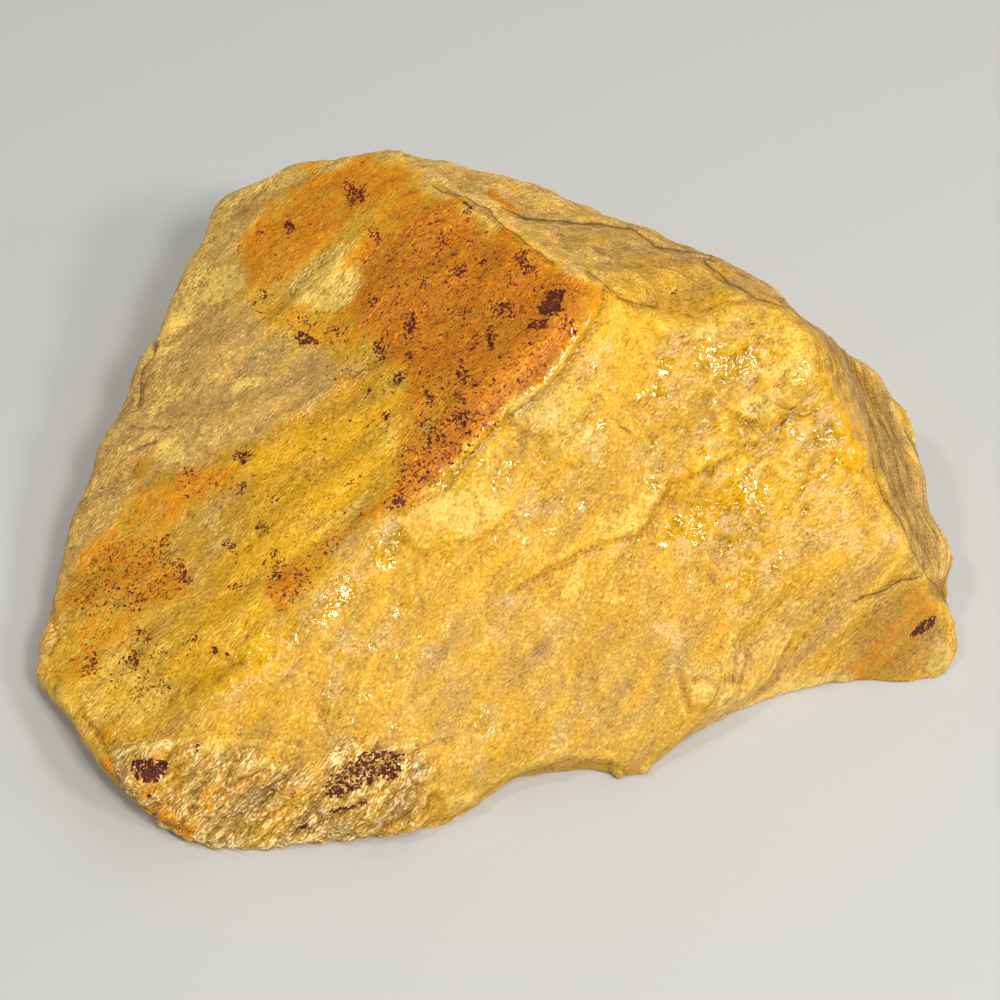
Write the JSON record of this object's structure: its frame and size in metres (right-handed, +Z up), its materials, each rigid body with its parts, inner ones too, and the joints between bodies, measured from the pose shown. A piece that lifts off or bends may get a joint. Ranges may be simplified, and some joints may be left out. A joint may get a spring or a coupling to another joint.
{
  "type": "raw aventurine stone",
  "caption": "Palm-sized rough lump of golden aventurine quartzite: broken faces, a stained parting and a flat break to rest on.",
  "frame": {"origin": "bottom centre of the stone's box, on its flat resting break", "axes": "+Z up from the resting break, +X along the stone's longest side towards the spur, +Y towards the steep back"},
  "size_m": [0.1398, 0.1188, 0.0458],
  "materials": {
    "aventurine": "rough broken quartzite, honey gold with rust stains, partly wet"
  },
  "bodies": {
    "root": {"aventurine_stone": "aventurine"}
  },
  "joints": []
}
